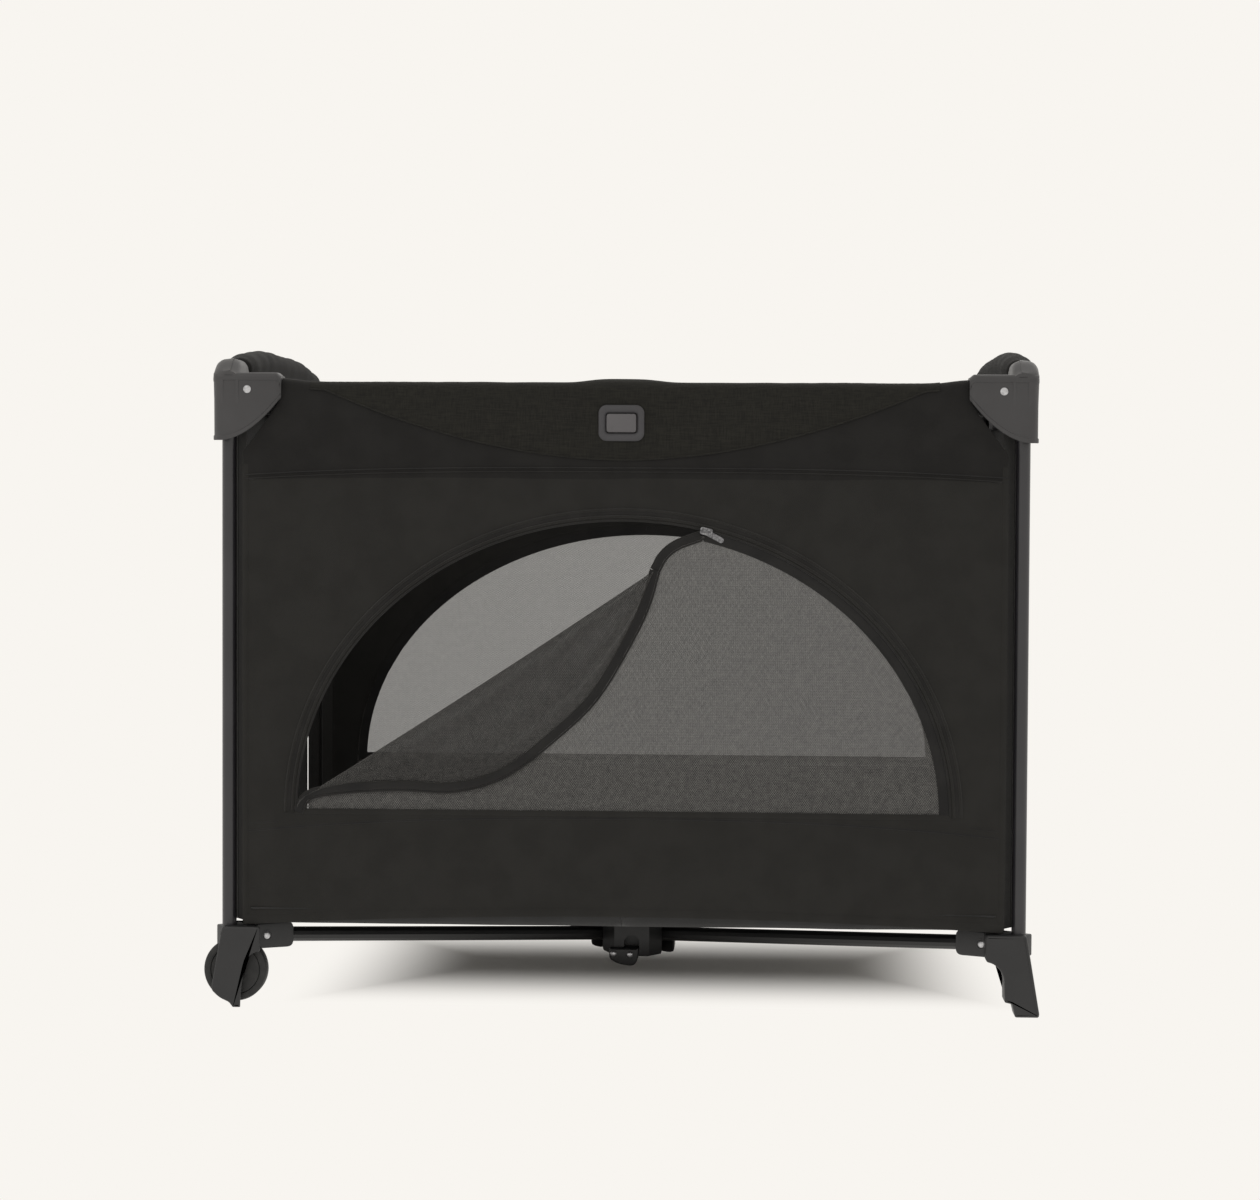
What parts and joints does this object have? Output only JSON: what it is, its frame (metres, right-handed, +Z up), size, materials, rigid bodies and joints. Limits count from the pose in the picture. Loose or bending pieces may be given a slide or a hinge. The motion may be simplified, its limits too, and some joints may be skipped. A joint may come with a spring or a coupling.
{
  "type": "playpen",
  "caption": "Folding travel cot playpen: tube frame with a floor hub, folding top rails, fabric walls with mesh windows, a half-open zipped mesh door and a thin mattress.",
  "frame": {"origin": "middle of the footprint, on the floor", "axes": "+X along the length, towards the end without wheels; +Z up; the zipped door faces -Y"},
  "size_m": [1.049, 0.728, 0.828],
  "materials": {
    "casing_plastic": "moulded plastic with a fine spark texture",
    "frame_paint": "satin powder coat",
    "rail_tube": "satin powder coat",
    "foot_plastic": "moulded plastic with a fine spark texture",
    "wheel_rubber": "matte",
    "steel": "turned",
    "hub_plastic": "moulded plastic",
    "bezel_plastic": "satin",
    "button_plastic": "satin",
    "wall_fabric": "plain woven polyester",
    "door_mesh": "knitted mesh",
    "mattress_fabric": "quilted polyester",
    "zip_metal": "black coated"
  },
  "bodies": {
    "corner_front_left": {"casing_front_left": "casing_plastic", "upright_front_left": "frame_paint", "foot_front_left": "foot_plastic", "wall_long_front_left": "wall_fabric", "wall_end_front_left": "wall_fabric", "axle_front_left": "steel", "door_mesh_left": "door_mesh", "door_flap": "door_mesh"},
    "corner_front_right": {"casing_front_right": "casing_plastic", "upright_front_right": "frame_paint", "foot_front_right": "foot_plastic", "wall_long_front_right": "wall_fabric", "wall_end_front_right": "wall_fabric", "door_mesh_right": "door_mesh", "zip_slider": "zip_metal"},
    "corner_rear_left": {"casing_rear_left": "casing_plastic", "upright_rear_left": "frame_paint", "foot_rear_left": "foot_plastic", "wall_long_rear_left": "wall_fabric", "wall_end_rear_left": "wall_fabric", "axle_rear_left": "steel"},
    "corner_rear_right": {"casing_rear_right": "casing_plastic", "upright_rear_right": "frame_paint", "foot_rear_right": "foot_plastic", "wall_long_rear_right": "wall_fabric", "wall_end_rear_right": "wall_fabric"},
    "bar_front_left": {"bottom_bar_front_left": "rail_tube", "floor_front_left": "wall_fabric"},
    "bar_front_right": {"bottom_bar_front_right": "rail_tube", "floor_front_right": "wall_fabric"},
    "bar_rear_left": {"bottom_bar_rear_left": "rail_tube", "floor_rear_left": "wall_fabric"},
    "bar_rear_right": {"bottom_bar_rear_right": "rail_tube", "floor_rear_right": "wall_fabric"},
    "hub": {"hub_base": "hub_plastic", "hub_cap": "hub_plastic"},
    "hub_pull": {"hub_pull": "button_plastic"},
    "mattress": {"mattress": "mattress_fabric"},
    "top_rail_front_left": {"top_rail_front_left": "rail_tube"},
    "top_rail_front_right": {"top_rail_front_right": "rail_tube"},
    "top_rail_rear_left": {"top_rail_rear_left": "rail_tube"},
    "top_rail_rear_right": {"top_rail_rear_right": "rail_tube"},
    "end_rail_front_left": {"end_rail_front_left": "rail_tube"},
    "end_rail_front_right": {"end_rail_front_right": "rail_tube"},
    "end_rail_rear_left": {"end_rail_rear_left": "rail_tube"},
    "end_rail_rear_right": {"end_rail_rear_right": "rail_tube"},
    "latch_front": {"latch_front": "bezel_plastic"},
    "button_front": {"button_front": "button_plastic"},
    "latch_rear": {"latch_rear": "bezel_plastic"},
    "button_rear": {"button_rear": "button_plastic"},
    "latch_left": {"latch_left": "bezel_plastic"},
    "button_left": {"button_left": "button_plastic"},
    "latch_right": {"latch_right": "bezel_plastic"},
    "button_right": {"button_right": "button_plastic"},
    "wheel_front_left": {"wheel_front_left": "wheel_rubber"},
    "wheel_rear_left": {"wheel_rear_left": "wheel_rubber"},
    "zip_pull": {"zip_pull": "zip_metal"}
  },
  "joints": [
    {"name": "fold", "type": "hinge", "parent": "corner_front_left", "child": "bar_front_left", "pos_m": [-0.45645, -0.31646, 0.086], "axis": [0.5677, -0.8233, 0], "range_deg": [0, 85], "deforming": ["wall_long_front_left", "wall_end_front_left", "door_mesh_left", "door_flap", "wall_long_front_right", "wall_end_front_right", "door_mesh_right", "zip_slider", "wall_long_rear_left", "wall_end_rear_left", "wall_long_rear_right", "wall_end_rear_right", "floor_front_left", "floor_front_right", "floor_rear_left", "floor_rear_right", "mattress", "zip_pull"]},
    {"name": "hub_pivot", "type": "hinge", "parent": "bar_front_left", "child": "hub", "pos_m": [-0.03866, -0.02838, 0.048], "axis": [0.5677, -0.8233, 0], "range_deg": [-85, 0]},
    {"name": "bar_pivot_front_right", "type": "hinge", "parent": "hub", "child": "bar_front_right", "pos_m": [0.04366, -0.02838, 0.048], "axis": [0.5677, 0.8233, 0], "range_deg": [0, 85]},
    {"name": "foot_pivot_front_right", "type": "hinge", "parent": "bar_front_right", "child": "corner_front_right", "pos_m": [0.46145, -0.31646, 0.086], "axis": [0.5677, 0.8233, 0], "range_deg": [-85, 0]},
    {"name": "bar_pivot_rear_left", "type": "hinge", "parent": "hub", "child": "bar_rear_left", "pos_m": [-0.03866, 0.02838, 0.048], "axis": [-0.5677, -0.8233, 0], "range_deg": [0, 85]},
    {"name": "foot_pivot_rear_left", "type": "hinge", "parent": "bar_rear_left", "child": "corner_rear_left", "pos_m": [-0.45645, 0.31646, 0.086], "axis": [-0.5677, -0.8233, 0], "range_deg": [-85, 0]},
    {"name": "bar_pivot_rear_right", "type": "hinge", "parent": "hub", "child": "bar_rear_right", "pos_m": [0.04366, 0.02838, 0.048], "axis": [-0.5677, 0.8233, 0], "range_deg": [0, 85]},
    {"name": "foot_pivot_rear_right", "type": "hinge", "parent": "bar_rear_right", "child": "corner_rear_right", "pos_m": [0.46145, 0.31646, 0.086], "axis": [-0.5677, 0.8233, 0], "range_deg": [-85, 0]},
    {"name": "top_rail_fold_front_left", "type": "hinge", "parent": "corner_front_left", "child": "top_rail_front_left", "pos_m": [-0.4675, -0.342, 0.776], "axis": [0, 1, 0], "range_deg": [0, 76.7]},
    {"name": "end_rail_fold_front_left", "type": "hinge", "parent": "corner_front_left", "child": "end_rail_front_left", "pos_m": [-0.4935, -0.316, 0.776], "axis": [-1, 0, 0], "range_deg": [0, 83.21]},
    {"name": "top_rail_fold_front_right", "type": "hinge", "parent": "corner_front_right", "child": "top_rail_front_right", "pos_m": [0.4725, -0.342, 0.776], "axis": [0, -1, 0], "range_deg": [0, 76.7]},
    {"name": "end_rail_fold_front_right", "type": "hinge", "parent": "corner_front_right", "child": "end_rail_front_right", "pos_m": [0.4985, -0.316, 0.776], "axis": [-1, 0, 0], "range_deg": [0, 83.21]},
    {"name": "top_rail_fold_rear_left", "type": "hinge", "parent": "corner_rear_left", "child": "top_rail_rear_left", "pos_m": [-0.4675, 0.342, 0.776], "axis": [0, 1, 0], "range_deg": [0, 76.7]},
    {"name": "end_rail_fold_rear_left", "type": "hinge", "parent": "corner_rear_left", "child": "end_rail_rear_left", "pos_m": [-0.4935, 0.316, 0.776], "axis": [1, 0, 0], "range_deg": [0, 83.21]},
    {"name": "top_rail_fold_rear_right", "type": "hinge", "parent": "corner_rear_right", "child": "top_rail_rear_right", "pos_m": [0.4725, 0.342, 0.776], "axis": [0, -1, 0], "range_deg": [0, 76.7]},
    {"name": "end_rail_fold_rear_right", "type": "hinge", "parent": "corner_rear_right", "child": "end_rail_rear_right", "pos_m": [0.4985, 0.316, 0.776], "axis": [1, 0, 0], "range_deg": [0, 83.21]},
    {"name": "latch_pivot_front", "type": "hinge", "parent": "top_rail_front_left", "child": "latch_front", "pos_m": [-0.0125, -0.342, 0.776], "axis": [0, 1, 0], "range_deg": [-76.7, 0]},
    {"name": "button_press_front", "type": "slide", "parent": "latch_front", "child": "button_front", "axis": [0, 1, 0], "range_m": [0, 0.004], "stiffness_N_per_m": 400},
    {"name": "latch_pivot_rear", "type": "hinge", "parent": "top_rail_rear_left", "child": "latch_rear", "pos_m": [-0.0125, 0.342, 0.776], "axis": [0, 1, 0], "range_deg": [-76.7, 0]},
    {"name": "button_press_rear", "type": "slide", "parent": "latch_rear", "child": "button_rear", "axis": [0, -1, 0], "range_m": [0, 0.004], "stiffness_N_per_m": 400},
    {"name": "latch_pivot_left", "type": "hinge", "parent": "end_rail_front_left", "child": "latch_left", "pos_m": [-0.4935, -0.015, 0.8], "axis": [-1, 0, 0], "range_deg": [-83.21, 0]},
    {"name": "button_press_left", "type": "slide", "parent": "latch_left", "child": "button_left", "axis": [1, 0, 0], "range_m": [0, 0.004], "stiffness_N_per_m": 400},
    {"name": "latch_pivot_right", "type": "hinge", "parent": "end_rail_front_right", "child": "latch_right", "pos_m": [0.4985, -0.015, 0.8], "axis": [-1, 0, 0], "range_deg": [-83.21, 0]},
    {"name": "button_press_right", "type": "slide", "parent": "latch_right", "child": "button_right", "axis": [-1, 0, 0], "range_m": [0, 0.004], "stiffness_N_per_m": 400},
    {"name": "wheel_spin_front_left", "type": "hinge", "parent": "corner_front_left", "child": "wheel_front_left", "pos_m": [-0.4845, -0.3425, 0.046], "axis": [0, 1, 0], "continuous": true},
    {"name": "wheel_spin_rear_left", "type": "hinge", "parent": "corner_rear_left", "child": "wheel_rear_left", "pos_m": [-0.4845, 0.3425, 0.046], "axis": [0, 1, 0], "continuous": true},
    {"name": "hub_pull_lift", "type": "slide", "parent": "hub", "child": "hub_pull", "axis": [0, 0, 1], "range_m": [0, 0.01], "stiffness_N_per_m": 600},
    {"name": "mattress_lift", "type": "slide", "parent": "hub", "child": "mattress", "axis": [0, 0, 1], "range_m": [0, 0.45]},
    {"name": "zip_pull_swing", "type": "hinge", "parent": "corner_front_right", "child": "zip_pull", "pos_m": [0.1045, -0.3607, 0.59979], "axis": [-1, 0, 0], "range_deg": [0, 150]}
  ],
  "couplings": [
    {"joint": "hub_pivot", "follows": "fold", "ratio": -1},
    {"joint": "bar_pivot_front_right", "follows": "fold", "ratio": 1},
    {"joint": "foot_pivot_front_right", "follows": "fold", "ratio": -1},
    {"joint": "bar_pivot_rear_left", "follows": "fold", "ratio": 1},
    {"joint": "foot_pivot_rear_left", "follows": "fold", "ratio": -1},
    {"joint": "bar_pivot_rear_right", "follows": "fold", "ratio": 1},
    {"joint": "foot_pivot_rear_right", "follows": "fold", "ratio": -1},
    {"joint": "top_rail_fold_front_left", "follows": "fold", "ratio": 0.90218},
    {"joint": "end_rail_fold_front_left", "follows": "fold", "ratio": 0.9787},
    {"joint": "top_rail_fold_front_right", "follows": "fold", "ratio": 0.90218},
    {"joint": "end_rail_fold_front_right", "follows": "fold", "ratio": 0.9787},
    {"joint": "top_rail_fold_rear_left", "follows": "fold", "ratio": 0.90218},
    {"joint": "end_rail_fold_rear_left", "follows": "fold", "ratio": 0.9787},
    {"joint": "top_rail_fold_rear_right", "follows": "fold", "ratio": 0.90218},
    {"joint": "end_rail_fold_rear_right", "follows": "fold", "ratio": 0.9787},
    {"joint": "latch_pivot_front", "follows": "fold", "ratio": -0.90218},
    {"joint": "latch_pivot_rear", "follows": "fold", "ratio": -0.90218},
    {"joint": "latch_pivot_left", "follows": "fold", "ratio": -0.9787},
    {"joint": "latch_pivot_right", "follows": "fold", "ratio": -0.9787},
    {"joint": "mattress_lift", "follows": "fold", "m_per_rad": 0.30333}
  ]
}
